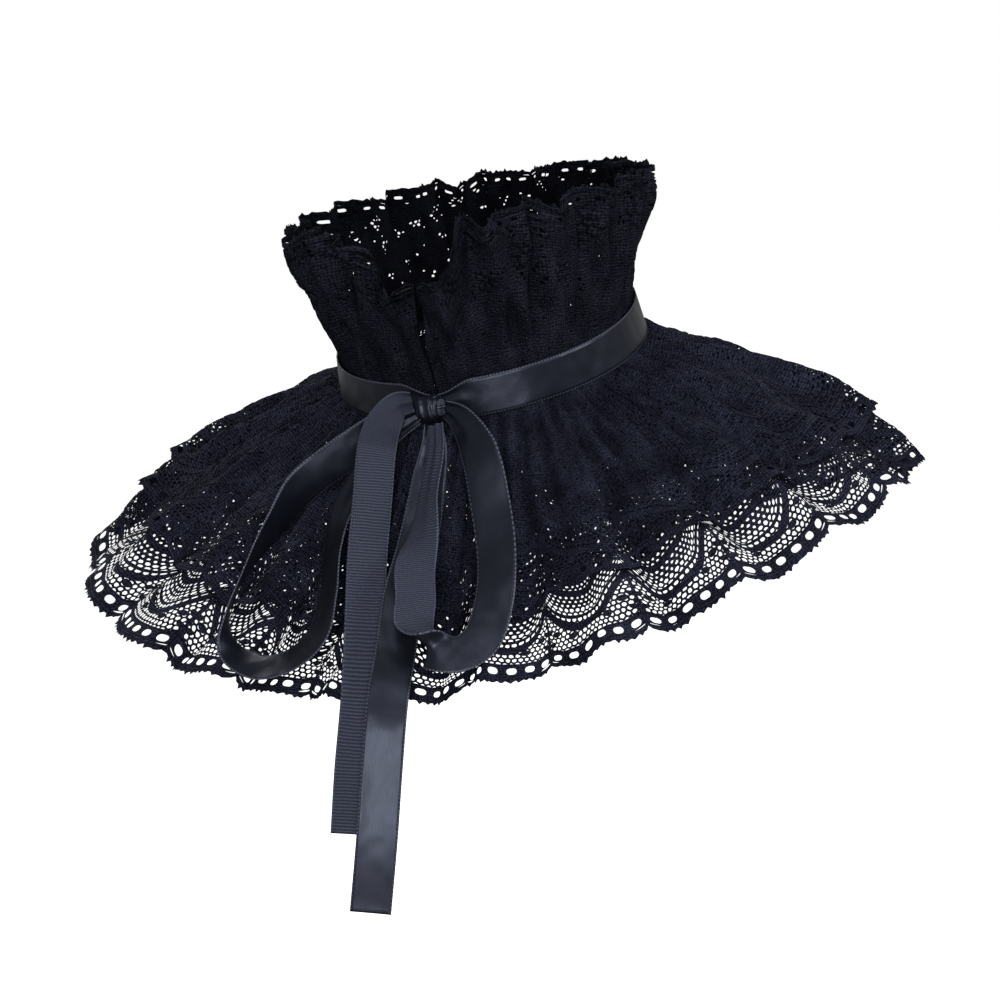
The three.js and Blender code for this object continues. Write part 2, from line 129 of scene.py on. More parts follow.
CAPE_LEAN = -5
FRILL_RINGS = {
    "along": [0.0, 0.16, 0.5, 0.8, 1.0],
    "height": [0.8, 11.5, 33.0, 52.0, 65.0],
    "radius": [59.0, 59.0, 63.5, 67.5, 69.0],
    "tilt": [17.5, 17.2, 13.0, 9.5, 7.5],
}
FRILL_SHIFT = 3.5
FRILL_LIFT = 0.035
CORNER_DROP = 0.38
CORNER_REACH = 16
print("flat hem of the lower tier:", 2 * SCALLOPS["lower half"] * SCALLOP, "mm")

# %% [markdown]
# ## Hanging cloth by formula
# The folds could be simulated, but gathered lace that was steamed into shape keeps its folds, and every
# later piece has to sit on them. So the cloth is a formula of two numbers: the turn round the neck and
# the share of the way along. Numpy works it out for a whole lace at once.

# %% Curves through the measures
def rise(low, high, x):
    """0 up to low, 1 from high on, and a smooth rise between them."""
    t = np.clip((x - low) / (high - low), 0, 1)
    return t * t * (3 - 2 * t)


def curve_through(places, values, at):
    """A smooth curve through values at places, read at many points at once."""
    x, y = np.asarray(places, float), np.asarray(values, float)
    last = len(x) - 1
    order = np.arange(last + 1)
    before, after = np.maximum(order - 1, 0), np.minimum(order + 1, last)
    slope = (y[after] - y[before]) / (x[after] - x[before])
    i = np.clip(np.searchsorted(x, at, side="right") - 1, 0, last - 1)
    span = x[i + 1] - x[i]
    t = (at - x[i]) / span
    level = y[i] + (y[i + 1] - y[i]) * t * t * (3 - 2 * t)
    return level + span * (slope[i] * t * (1 - t) ** 2 - slope[i + 1] * t * t * (1 - t))


halfway = curve_through(CAPE_ALONG, CAPE_REACH["front"], np.array([0.5]))
print("halfway down its front the cape reaches out", halfway.round(1).tolist(), "mm")

# %% The bare cape and the bare frill
def round_the_neck(table, turn, along):
    """A measure of the cape at any turn: the smooth wave that meets its values in the five directions."""
    f, fs, s, bs, b = (curve_through(CAPE_ALONG, table[name], along) for name in DIRECTIONS)
    root = np.sqrt(2)
    return (
        (f + 2 * fs + 2 * s + 2 * bs + b) / 8
        + (f + root * fs - root * bs - b) / 4 * np.cos(turn)
        + (f - 2 * s + b) / 4 * np.cos(2 * turn)
        + (f - root * fs + root * bs - b) / 4 * np.cos(3 * turn)
        + (f - 2 * fs + 2 * s - 2 * bs + b) / 8 * np.cos(4 * turn)
    )


def cape_form(turn, along):
    """The bare cape, before its folds."""
    reach = round_the_neck(CAPE_REACH, turn, along)
    x = reach * np.sin(turn) + CAPE_LEAN * along**2
    return np.stack([x, -reach * np.cos(turn), round_the_neck(CAPE_LEVEL, turn, along)], axis=-1)


def ring_point(turn, radius, height, tilt):
    """A point of a ring round the neck's axis. tilt is how far the ring drops to the front, in degrees."""
    out, lean, neck = radius * np.cos(turn), np.radians(tilt), np.radians(NECK_TILT)
    y = -out * np.cos(lean) - height * np.sin(neck)
    return np.stack([radius * np.sin(turn), y, -out * np.sin(lean) + height * np.cos(neck)], axis=-1)


def frill_form(turn, along):
    """The bare frill. It stands lower at its two front corners."""
    away = turn - np.radians(OPENING_AT)
    away = np.degrees(np.arctan2(np.sin(away), np.cos(away)))
    corner = np.exp(-((away / CORNER_REACH) ** 4))
    height, radius, tilt = (
        curve_through(FRILL_RINGS["along"], FRILL_RINGS[name], along)
        for name in ("height", "radius", "tilt")
    )
    point = ring_point(turn, radius, height * (1 - CORNER_DROP * corner * along), tilt)
    point[..., 2] += FRILL_LIFT * point[..., 0] * along
    point[..., 0] += FRILL_SHIFT * along**2
    return point


test = cape_form(np.radians([0, 90, 180]), np.ones(3))
print("bare hem at the front, side and back:", test.round().tolist())

# %% [markdown]
# ## Gathers
# Gathered lace falls in soft round folds, with many small pleats near the seam that run together into a
# few large ones. The large folds are those of the solids. The small pleats and the crumples are added
# here, with the same phase in both tiers, so that one tier never cuts through the other.

# %% Find a surface's directions
STEP = 1e-3


def unit(vectors):
    return vectors / np.maximum(np.linalg.norm(vectors, axis=-1, keepdims=True), 1e-12)


def directions(surface, turn, along, facing):
    """The way round and the normal of a surface. facing is 1 or -1, so that the normal points outwards."""
    across = unit(surface(turn + STEP, along) - surface(turn - STEP, along))
    down = unit(surface(turn, along + STEP) - surface(turn, along - STEP))
    return across, unit(np.cross(across, down)) * facing


outwards = directions(cape_form, np.array([np.pi / 2]), np.array([0.5]), -1)[1]
print("normal of the cape at the wearer's left:", outwards.round(2).tolist())

# %% Lay folds over a bare form
# Each row of waves: their height, how many go round the neck, and where they start
FOLD_DRIFT = [(0.05, 2, 0.5), (0.035, 5, 1.2)]
FOLD_SWAY = [(1, 3, 0.8)]
FOLD_GAIN = [(0.24, 3, 1), (0.22, 7, 0.6), (0.14, 11, 0)]


def waves(rows, turn):
    """The sum of all the waves in rows, at any turn round the neck."""
    return sum(height * np.sin(count * turn + start) for height, count, start in rows)


def gathered(form, facing, folds, height, lift, pleats):
    """A bare form with folds and pleats laid over it. A fold's sides bulge towards the folds beside it."""

    def surface(turn, along):
        across, out = directions(form, turn, along, facing)
        sway = folds["sway"] * along * waves(FOLD_SWAY, turn)
        phase = folds["start"] + folds["count"] * (turn + waves(FOLD_DRIFT, turn)) + sway
        crest = height(along) * (1 + waves(FOLD_GAIN, turn))
        rising = crest * np.cos(phase) + lift(along) + pleats(turn, along, phase)
        bulge = -crest * folds["bulge"] * np.sin(2 * phase)
        return form(turn, along) + out * rising[..., None] + across * bulge[..., None]

    return surface


gains = 1 + waves(FOLD_GAIN, np.linspace(0, 2 * np.pi, 100))
print("folds are", gains.min().round(1), "to", gains.max().round(1), "times their usual height")

# %% Make the crumples
def random_waves(seed, count, around, down):
    """A smooth random field over the cloth, the same at turn 0 and 360. Its size is about 1."""
    dice = np.random.default_rng(seed)
    rounds = dice.integers(around[0], around[1], count)
    falls = dice.uniform(down[0], down[1], count) * dice.choice([-1, 1], count)
    starts = dice.uniform(0, 2 * np.pi, count)

    def field(turn, along):
        height = 0 * turn
        for k, fall, start in zip(rounds, falls, starts):
            height = height + np.sin(k * turn + fall * along + start)
        return height * np.sqrt(2 / count)

    return field


cape_crumple = random_waves(seed=3, count=22, around=(18, 70), down=(4, 26))
frill_crumple = random_waves(seed=8, count=26, around=(12, 60), down=(3, 16))
print("crumple of the cape at its front:", cape_crumple(np.zeros(1), np.ones(1)).round(2).tolist())

# %% Add the small pleats and the crumples
# How far each of them stands out of the cloth, and how many degrees the front corners' curl reaches
CAPE_PLEATS = {"small": 1.5, "middle": 1.0, "crumple": 0.8}
FRILL_PLEATS = {"small": 0.8, "ruffle": 2.3, "curl": 3.2, "curl reach": 26, "crumple": 1.2}


def cape_pleats(turn, along, phase):
    """Small pleats under the seam, wider ones below them, and crumples."""
    under_seam = rise(0.02, 0.1, along) * (1 - rise(0.25, 0.75, along))
    small = under_seam * np.sin(3 * phase + 1.7 * np.sin(5 * turn) + 2 * along)
    below = rise(0.1, 0.45, along) * (1 - 0.6 * rise(0.75, 1, along))
    middle = below * np.sin(2 * phase + 1.6 * np.sin(4 * turn + 1))
    crumple = rise(0.08, 0.4, along) * cape_crumple(turn, along)
    return CAPE_PLEATS["small"] * small + CAPE_PLEATS["middle"] * middle + CAPE_PLEATS["crumple"] * crumple


def frill_pleats(turn, along, phase):
    """Small pleats over the seam, a ruffle towards the rim, a curl at the front corners, and crumples."""
    over_seam = rise(0.02, 0.2, along) * (1 - rise(0.3, 0.7, along))
    small = over_seam * np.sin(3 * phase + 2 * np.sin(7 * turn))
    ruffle = rise(0.5, 1, along) * np.sin(2 * phase + 1.4 * np.sin(3 * turn) + 3 * along)
    from_opening = (np.degrees(turn) - OPENING_AT + 180) % 360 - 180
    corner = np.exp(-((from_opening / FRILL_PLEATS["curl reach"]) ** 2) / 2)
    curl = corner * rise(0.45, 1, along) * np.sin(31 * turn + 5 * along)
    crumple = rise(0.12, 0.4, along) * frill_crumple(turn, along)
    fine = FRILL_PLEATS["small"] * small + FRILL_PLEATS["crumple"] * crumple
    return fine + FRILL_PLEATS["ruffle"] * ruffle + FRILL_PLEATS["curl"] * curl


print("small pleats of the tiers stand out", CAPE_PLEATS["small"], "mm, the frill's", FRILL_PLEATS["small"])

# %% Gather the two tiers and the frill
CAPE_FOLDS = {"count": 24, "start": 2.1, "height": 6.6, "sway": 0.8, "bulge": 0.16}
LOWER_FOLDS = {"share": 0.92, "calm": 0.5, "calm from": 0.75}
FRILL_FOLDS = {"count": 20, "start": 0, "height": 4.0, "sway": 0.7, "bulge": 0.2}
upper_surface = gathered(
    cape_form, -1, CAPE_FOLDS,
    height=lambda along: CAPE_FOLDS["height"] * rise(0.03, 1, along),
    lift=lambda along: 0 * along,
    pleats=cape_pleats,
)


def calm(along):
    """How much of its folds the lower tier keeps towards its hem."""
    return 1 - LOWER_FOLDS["calm"] * rise(LOWER_FOLDS["calm from"], 1, along)


lower_surface = gathered(
    cape_form, -1, CAPE_FOLDS,
    height=lambda along: LOWER_FOLDS["share"] * CAPE_FOLDS["height"] * rise(0.03, 1, along) * calm(along),
    lift=lambda along: -AT_THE_SEAM - (TIER_SPACING - AT_THE_SEAM) * rise(0.05, 0.3, along),
    pleats=cape_pleats,
)
frill_surface = gathered(
    frill_form, 1, FRILL_FOLDS,
    height=lambda along: FRILL_FOLDS["height"] * rise(0.14, 0.95, along),
    lift=lambda along: 0 * along,
    pleats=frill_pleats,
)
print("a crest of the upper tier:", upper_surface(np.array([0.3]), np.array([0.7])).round(1).tolist())

# %% [markdown]
# ## The ground of the lace
# Machine lace is a hexagon net with motifs worked into it. A picture of lace on a plain sheet would
# vanish in the mesh files, so the net is real: a grid of squares loses every other upright edge, which
# leaves bricks. Sliding the points up and down by turns makes the bricks hexagons. Each is then inset,
# and its middle goes. The lace is worked flat, with its scalloped edge along the bottom, exactly as it
# would be bought.

# %% Lay out a flat grid
def flat_grid(bm, columns, rows, left, right, bottom, top, layer=0.0):
    """A grid between four flat measures. Returns its vertices in rows from the bottom."""
    made = bmesh.ops.create_grid(bm, x_segments=columns, y_segments=rows, size=1)["verts"]
    for v in made:
        v.co.x = left + (v.co.x + 1) / 2 * (right - left)
        v.co.y = bottom + (v.co.y + 1) / 2 * (top - bottom)
        v.co.z = layer
    made.sort(key=lambda v: (round(v.co.y, 4), v.co.x))
    return [made[j * (columns + 1):(j + 1) * (columns + 1)] for j in range(rows + 1)]


def faces_of(grid, bm):
    """The faces round a grid's vertices, always in the same order."""
    bm.faces.index_update()
    return sorted({f for row in grid for v in row for f in v.link_faces}, key=lambda f: f.index)


trial = bmesh.new()
corner_rows = flat_grid(trial, 6, 2, 0, SCALLOP, 0, 1)
print("a grid of", len(faces_of(corner_rows, trial)), "faces has", len(corner_rows), "rows of corners")
trial.free()

# %% Knit a hexagon net
CELLS_IN_SCALLOP = 18
CELL_WIDTH = SCALLOP / CELLS_IN_SCALLOP
CELL_HEIGHT = 1.9
HEXAGON_SLANT = 0.31
UNEVEN = 0.2
OPEN, CLOSE, SOLID = 0, 1, 2
THREAD = {OPEN: 0.86, CLOSE: 1.3}
LOWER_NET_ROWS = 12
chance = np.random.default_rng(seed=11)


def hexagons(grid, bm):
    """Turns a grid into hexagons of two squares each. Returns their faces."""
    upright = []
    for j in range(len(grid) - 1):
        for i in range(1, len(grid[0]) - 1):
            if (i + j) % 2:
                upright.append(bm.edges.get((grid[j][i], grid[j + 1][i])))
    bmesh.ops.dissolve_edges(bm, edges=upright, use_verts=False)
    for j, row in enumerate(grid):
        for i, v in enumerate(row):
            if 0 < j < len(grid) - 1:
                v.co.y += HEXAGON_SLANT if (i + j) % 2 == 0 else -HEXAGON_SLANT
                v.co.x += chance.uniform(-UNEVEN, UNEVEN) if 0 < i < len(row) - 1 else 0
                v.co.y += chance.uniform(-UNEVEN, UNEVEN)
    return faces_of(grid, bm)


def knit(bm, width, bottom, top, there, worked):
    """A net from one height to another. there says where it has cells, and worked how close each is."""
    columns = 2 * round(width / CELL_WIDTH)
    rows = round((top - bottom) / CELL_HEIGHT)
    grid = flat_grid(bm, columns, rows, 0, width, bottom, top)
    cells = {OPEN: [], CLOSE: [], SOLID: [], None: []}
    for face in hexagons(grid, bm):
        middle = face.calc_center_median()
        cells[worked(middle.x, middle.y) if there(middle.x, middle.y) else None].append(face)
    for closeness, thread in THREAD.items():
        bmesh.ops.inset_individual(bm, faces=cells[closeness], thickness=thread / 2, use_even_offset=True)
    bmesh.ops.delete(bm, geom=cells[None] + cells[OPEN] + cells[CLOSE], context="FACES")


def everywhere(x, y):
    return True


def all_open(x, y):
    return OPEN


trial = bmesh.new()
knit(trial, SCALLOP, 0, LOWER_NET_ROWS * CELL_HEIGHT, everywhere, all_open)
print("net of one scallop:", len(trial.faces), "faces")
trial.free()

# %% [markdown]
# ## Festoons
# In each scallop hang festoons: heavy threads that loop up from notch to notch, with net between them.
# The net's rows follow their curve. So the net comes in two parts. Under the lowest festoon its rows
# are straight, and above it they are bent by one formula, which also bends the places of the flowers
# and leaves.

# %% Bend the rows along the festoons
FESTOON_AT = 12.5
FESTOON_RISE = 17
WORKED_FROM = 31.5
THREAD_STEPS = 28
THREAD_WOBBLE = 0.08
SAMPLE_LENGTH = 98
# How far each part of the lace lies above its net, so that no two of them lie in one plane
LAYERS = {"eyelets": 0.1, "ragged edge": 0.2, "stems": 0.25, "heavy threads": 0.28}


def place_in_scallop(x):
    """-1 at a notch, 0 in the middle of a scallop and 1 at the next notch."""
    return (x / SCALLOP) % 1 * 2 - 1


def along_festoon(x, y, top):
    """The height y, raised at the notches as the festoons are. The rise fades out towards the cut edge."""
    easing = np.clip((top - y) / (top - WORKED_FROM), 0, 1)
    return y + FESTOON_RISE * place_in_scallop(x) ** 2 * easing


def heavy_thread(bm, width, top, height, thickness):
    """A thread worked along the festoons of a whole lace, as a strip that lies on the net."""
    steps = THREAD_STEPS * round(width / SCALLOP)
    grid = flat_grid(bm, steps, 1, 0, width, -0.5, 0.5, LAYERS["heavy threads"])
    for side, row in zip((-0.5, 0.5), grid):
        for v in row:
            lean = 4 * FESTOON_RISE * place_in_scallop(v.co.x) / SCALLOP
            half = side * thickness * np.sqrt(1 + lean**2)
            wobble = chance.uniform(-THREAD_WOBBLE, THREAD_WOBBLE)
            v.co.y = along_festoon(v.co.x, height, top) + half + wobble


trial = bmesh.new()
heavy_thread(trial, SCALLOP, SAMPLE_LENGTH, FESTOON_AT, 2.2)
print("festoon rises from", FESTOON_AT, "to", round(max(v.co.y for v in trial.verts), 1), "mm")
trial.free()

# %% [markdown]
# ## The edge
# Along the scallops runs a firm edge with one row of oval eyelets, six to a scallop, and cut threads
# that stand out of it. The eyelets start as a row of cells. An inset makes each a frame, and a bevel of
# the inner corners rounds the hole before its face is deleted.

# %% Work the eyelets and the ragged edge
BORDER_TOP = 7.4
EYELET_PITCH = 7
EYELET_ROW = (1.6, BORDER_TOP)
EYELET_FRAME = 1.6
RIM_EYELET_FRAME = 2.1
EYELET_ROUNDING = 0.47
CORNER_STEPS = 3
EDGE_OVERLAP = 0.5
RAGGED = (-0.5, 0.4)
PICOT_PITCH = 1.0
PICOT_EVERY = 3
PICOT_LENGTH = (0.3, 1.1)


def eyelet_edge(bm, width, frame_width):
    """A lace's edge: a row of eyelets, and a ragged strip below them. Returns the number of eyelets."""
    grid = flat_grid(bm, round(width / EYELET_PITCH), 1, 0, width, *EYELET_ROW, LAYERS["eyelets"])
    cells = faces_of(grid, bm)
    bmesh.ops.inset_individual(bm, faces=cells, thickness=frame_width, use_even_offset=True)
    rounding = EYELET_ROUNDING * (EYELET_ROW[1] - EYELET_ROW[0] - 2 * frame_width)
    corners = [v for f in cells for v in f.verts]
    bmesh.ops.bevel(
        bm, geom=corners, offset=rounding, affect="VERTICES",
        segments=CORNER_STEPS, profile=0.5, material=-1,
    )
    holes = [f for f in bm.faces if len(f.verts) == 4 * (CORNER_STEPS + 1)]
    bmesh.ops.delete(bm, geom=holes, context="FACES")
    strip = (0, EYELET_ROW[0] + EDGE_OVERLAP)
    ragged = flat_grid(bm, round(width / PICOT_PITCH), 2, 0, width, *strip, LAYERS["ragged edge"])
    for i, v in enumerate(ragged[0]):
        v.co.y -= chance.uniform(*RAGGED)
        if i % PICOT_EVERY == 0:
            v.co.y -= chance.uniform(*PICOT_LENGTH)
    return len(holes)


trial = bmesh.new()
print("eyelets in one scallop:", eyelet_edge(trial, SCALLOP, EYELET_FRAME))
trial.free()

# %% [markdown]
# ## Flowers and leaves
# The upper part of the lace is nearly filled: net with most of its cells darned over, and flowers and
# leaves on it in low relief. One petal is a circle with a raised middle, drawn out and turned. A flower
# is six or seven of them round an eye, and leaves fill the gaps. They are a traditional sort of lace
# flower, not copied from any one lace.

# %% Work petals and flowers
RELIEF = 0.3
PETAL_SIDES = 10
PETAL_MIDDLE = 2.4
EYE = 0.4
PETAL_FOOT = 0.22
PETAL_LENGTH = 0.8
PETAL_WIDTH = 0.58


def petal(bm, x, y, length, width, angle):
    """One raised petal. x and y are its foot, and angle is its direction in degrees."""
    made = bmesh.ops.create_circle(
        bm, cap_ends=True, cap_tris=True, segments=PETAL_SIDES, radius=0.5,
    )["verts"]
    for v in made:
        on_rim = v.co.length > 0.1
        v.co.z = RELIEF if on_rim else PETAL_MIDDLE * RELIEF
    bmesh.ops.translate(bm, verts=made, vec=(0.5, 0, 0))
    bmesh.ops.scale(bm, verts=made, vec=(length, width, 1))
    bmesh.ops.rotate(bm, verts=made, cent=(0, 0, 0), matrix=Matrix.Rotation(np.radians(angle), 3, "Z"))
    bmesh.ops.translate(bm, verts=made, vec=(x, y, 0))
    return made


def flower(bm, x, y, radius, petals, turn):
    """Petals round an eye, in shares of the flower's radius. turn is the first petal's direction."""
    made = petal(bm, x - EYE / 2 * radius, y, EYE * radius, EYE * radius, 0)
    for k in range(petals):
        angle = turn + 360 * k / petals
        foot = Matrix.Rotation(np.radians(angle), 2) @ Vector((PETAL_FOOT * radius, 0))
        made += petal(bm, x + foot.x, y + foot.y, PETAL_LENGTH * radius, PETAL_WIDTH * radius, angle)
    return made


trial = bmesh.new()
flower(trial, 0, 0, 9, 7, 0)
print("one flower:", len(trial.faces), "faces")
trial.free()

# %% Set out the motifs of one scallop
# place and away are shares of the scallop's width. Heights are from the edge, before the rows are bent
FLOWERS = [
    {"place": 0.5, "height": 45, "radius": 9.0, "petals": 7},
    {"place": 0.0, "height": 56, "radius": 7.0, "petals": 6},
    {"place": 0.5, "height": 69, "radius": 8.0, "petals": 7},
    {"place": 0.0, "height": 82, "radius": 7.0, "petals": 6},
    {"place": 0.5, "height": 95, "radius": 8.0, "petals": 7},
    {"place": 0.0, "height": 108, "radius": 7.0, "petals": 6},
]
# Each row of leaves is a pair of mirror images, away from the scallop's middle or from its notch
LEAVES = [
    {"away": 0.26, "height": 33.5, "length": 9, "width": 4.2, "angle": 62},
    {"away": 0.14, "height": 32.5, "length": 7, "width": 3.4, "angle": 75},
    {"away": 0.25, "height": 55, "length": 9, "width": 4, "angle": 100},
    {"away": 0.48, "height": 66, "length": 9, "width": 4, "angle": 60},
    {"away": 0.25, "height": 80, "length": 9, "width": 4, "angle": 100},
]
NOTCH_LEAVES = [
    {"away": 0, "height": 9.5, "length": 4.6, "width": 2.0, "angle": 35},
    {"away": 0, "height": 15, "length": 4.6, "width": 1.9, "angle": 50},
]
DOTS = (-0.78, -0.42, 0.42, 0.78)
print("a scallop has", len(FLOWERS), "rows of flowers and", len(LEAVES + NOTCH_LEAVES), "pairs of leaves")

# %% Work the motifs of one scallop
DOT = {"length": 4.6, "width": 2.7, "over the border": 1}
STEM = {"width": 1.6, "into the border": 0.6, "rows": 8, "wobble": 0.15}
FIRST_PETAL = 90
A_HAIR = 1e-3


def leaf_pair(bm, row, middle):
    """A leaf and its mirror image, on either side of the line x = middle."""
    away = row["away"] * SCALLOP
    rest = (row["height"], row["length"], row["width"])
    left = petal(bm, middle - away, *rest, row["angle"])
    return left + petal(bm, middle + away, *rest, 180 - row["angle"])


def work_motifs(top):
    """The raised motifs of one scallop, for a lace whose net ends at top. Its left notch is at x = 0."""
    bm = bmesh.new()
    bent = []
    for row in FLOWERS:
        if row["height"] + row["radius"] < top:
            x = row["place"] * SCALLOP
            bent += flower(bm, x, row["height"], row["radius"], row["petals"], FIRST_PETAL)
    for row in LEAVES:
        if row["height"] + row["length"] < top:
            bent += leaf_pair(bm, row, SCALLOP / 2)
    for v in bent:
        v.co.y = along_festoon(v.co.x, v.co.y, top)
    for dot in DOTS:
        x = (dot + 1) / 2 * SCALLOP - DOT["length"] / 2
        festoon = FESTOON_AT + FESTOON_RISE * dot**2
        petal(bm, x, 0.5 * (BORDER_TOP + DOT["over the border"] + festoon), DOT["length"], DOT["width"], 0)
    for row in NOTCH_LEAVES:
        leaf_pair(bm, row, 0)
    sides = (-STEM["width"] / 2, STEM["width"] / 2)
    ends = (BORDER_TOP - STEM["into the border"], FESTOON_AT + FESTOON_RISE)
    stem = flat_grid(bm, 1, STEM["rows"], *sides, *ends, LAYERS["stems"])
    for row in stem[1:-1]:
        for v in row:
            v.co.x += chance.uniform(-STEM["wobble"], STEM["wobble"])
    repeat = bpy.data.meshes.new("repeat")
    bm.to_mesh(repeat)
    bm.free()
    return repeat


def repeat_motifs(bm, scallops, top):
    """Copies one scallop's motifs along a lace. What crosses its cut ends is left off."""
    repeat = work_motifs(top)
    for _ in range(scallops):
        bm.from_mesh(repeat)
        repeat.transform(Matrix.Translation((SCALLOP, 0, 0)))
    outside = [v for v in bm.verts if not -A_HAIR < v.co.x < scallops * SCALLOP + A_HAIR]
    bmesh.ops.delete(bm, geom=outside, context="VERTS")
    bpy.data.meshes.remove(repeat)


trial = work_motifs(SAMPLE_LENGTH)
print("motifs of one scallop:", len(trial.polygons), "faces")
bpy.data.meshes.remove(trial)

# %% [markdown]
# ## Darning
# A lace is worked more closely the higher it lies. Over the festoons come rows that are darned by
# turns, and above them most cells are darned over, by chance. The frill is darned nearly all over. Each
# lace is then put together from its edge, its net, its heavy threads and its motifs.

# %% Choose how closely each cell is worked
CLOSE_FROM = 20
DARNED_FROM = WORKED_FROM - 0.6 * CELL_HEIGHT
DARNED_ROWS_TO = 41
DARNED_SHARE = 0.66
FRILL_DARNED_SHARE = 0.97
CLUSTER_LEVEL = 0.22
CLUSTERS_FADE = 0.014
CLUSTER_SHARES = (0.3, 0.3, 0.4)


def below_festoon(x, y):
    return y < FESTOON_AT + FESTOON_RISE * place_in_scallop(x) ** 2


def worked(x, y):
    """How close the upper net is worked, before its rows are bent."""
    if y < DARNED_FROM:
        return OPEN if y < CLOSE_FROM else CLOSE
    if y < DARNED_ROWS_TO:
        return SOLID if round(y / CELL_HEIGHT) % 2 else CLOSE
    return SOLID if chance.random() < DARNED_SHARE else CLOSE


def ruche(x, y):
    """The frill's lace is darned nearly all over. Its few holes lie in clusters, most near the rim."""
    cluster = np.sin(0.31 * x + 0.2 * y) * np.sin(0.23 * y - 0.17 * x + 1) - CLUSTERS_FADE * y
    if cluster < CLUSTER_LEVEL:
        return SOLID if chance.random() < FRILL_DARNED_SHARE else CLOSE
    return (OPEN, CLOSE, SOLID)[chance.choice(3, p=CLUSTER_SHARES)]


print("at 18, 25, 35 and 37 mm the cells are", [worked(0, y) for y in (18, 25, 35, 37)])

# %% Work a whole lace
NET_OVERLAP = 1
# Each heavy thread's height in the middle of a scallop, and its width
HEAVY_THREADS = [(FESTOON_AT, 2.8), (16.4, 1.3), (27.0, 2.8)]


def sew_on(bm, part):
    """Adds all of part to bm, and frees part."""
    carried = bpy.data.meshes.new("carried")
    part.to_mesh(carried)
    part.free()
    bm.from_mesh(carried)
    bpy.data.meshes.remove(carried)


def keep_flat(bm, flat_place):
    """Keeps every corner's flat place as a UV map, in metres, before the cloth is hung."""
    uv = bm.loops.layers.uv.new("flat")
    for face in bm.faces:
        for loop in face.loops:
            loop[uv].uv = [x * MM for x in flat_place(loop.vert.co)]


def flat_lace(scallops, length):
    """A flat lace of so many scallops. Its ragged edge is along the bottom, its cut edge at the top."""
    bm = bmesh.new()
    width = scallops * SCALLOP
    eyelet_edge(bm, width, EYELET_FRAME)
    bottom = BORDER_TOP - NET_OVERLAP
    knit(bm, width, bottom, bottom + LOWER_NET_ROWS * CELL_HEIGHT, below_festoon, all_open)
    rows = bmesh.new()
    knit(rows, width, FESTOON_AT, length, everywhere, worked)
    for v in rows.verts:
        v.co.y = along_festoon(v.co.x, v.co.y, length)
    sew_on(bm, rows)
    for height, thickness in HEAVY_THREADS:
        heavy_thread(bm, width, length, height, thickness)
    repeat_motifs(bm, scallops, length)
    keep_flat(bm, lambda place: place.xy)
    return bm


trial = flat_lace(1, SAMPLE_LENGTH)
print("one scallop of lace:", len(trial.faces), "faces")
trial.free()

# %% Work the frill's lace
FRILL_FLOWERS = {"height": (13, 17), "every other": 9, "radius": (5, 7), "petals": 6, "turn": (0, 60)}


def flat_frill(scallops, length):
    """The frill's lace, with the same edge and flowers but no festoons."""
    bm = bmesh.new()
    width = scallops * SCALLOP
    eyelet_edge(bm, width, RIM_EYELET_FRAME)
    knit(bm, width, BORDER_TOP - NET_OVERLAP, length, everywhere, ruche)
    dice = np.random.default_rng(seed=4)
    for i in range(scallops * 2 - 1):
        x = (i + 1) * SCALLOP / 2
        height = dice.uniform(*FRILL_FLOWERS["height"]) + FRILL_FLOWERS["every other"] * (i % 2)
        radius = dice.uniform(*FRILL_FLOWERS["radius"])
        flower(bm, x, height, radius, FRILL_FLOWERS["petals"], dice.uniform(*FRILL_FLOWERS["turn"]))
    keep_flat(bm, lambda place: place.xy)
    return bm


print("flowers along the frill:", SCALLOPS["frill"] * 2 - 1)

# %% [markdown]
# ## Gathering the lace on to the neck
# Now each flat lace is hung. Every point's place across the lace becomes a turn round the neck, and its
# height above the edge a share of the way along. The edge's scallops come from the same step, by
# drawing the edge in towards the neck at each notch. The motifs' relief is laid out along the folded
# cloth's own normal.

# %% Make flat work an object and move its points
def as_object(bm, name):
    """Makes a bmesh a smooth object of the scene, and frees the bmesh."""
    mesh = bpy.data.meshes.new(name)
    bm.to_mesh(mesh)
    bm.free()
    mesh.polygons.foreach_set("use_smooth", np.ones(len(mesh.polygons), bool))
    made = bpy.data.objects.new(name, mesh)
    bpy.context.collection.objects.link(made)
    return made


def points_of(piece):
    """A piece's vertices as rows of x, y and z."""
    points = np.empty(len(piece.data.vertices) * 3)
    piece.data.vertices.foreach_get("co", points)
    return points.reshape(-1, 3)


def move_points(piece, points):
    """Moves a piece's vertices to points, given in millimetres."""
    piece.data.vertices.foreach_set("co", (points * MM).ravel())
    piece.data.update()


print("meshes before the first lace is hung:", len(bpy.data.meshes))

# %% Hang a lace round the neck
LOBES_FROM = 0.6


def hang(bm, name, surface, facing, turns, hem, top, length):
    """Gathers a flat lace between two turns in degrees, with its edge at hem and its top at top."""
    piece = as_object(bm, name)
    flat = points_of(piece)
    start, end = np.radians(turns)
    turn = start + flat[:, 0] / flat[:, 0].max() * (end - start)
    along = hem - flat[:, 1] / length
    lobe = np.sqrt(np.abs(np.sin(np.pi * flat[:, 0] / SCALLOP)))
    towards_edge = rise(top + LOBES_FROM * (hem - top), hem, along)
    along = along + SCALLOP_DEPTH / length * (lobe - 1) * towards_edge
    out = directions(surface, turn, along, facing)[1]
    move_points(piece, surface(turn, along) + out * flat[:, 2:3])
    print(name, "has", len(piece.data.polygons), "faces")
    return piece


print("the scallops draw a lace in by up to", SCALLOP_DEPTH, "mm at the notches")

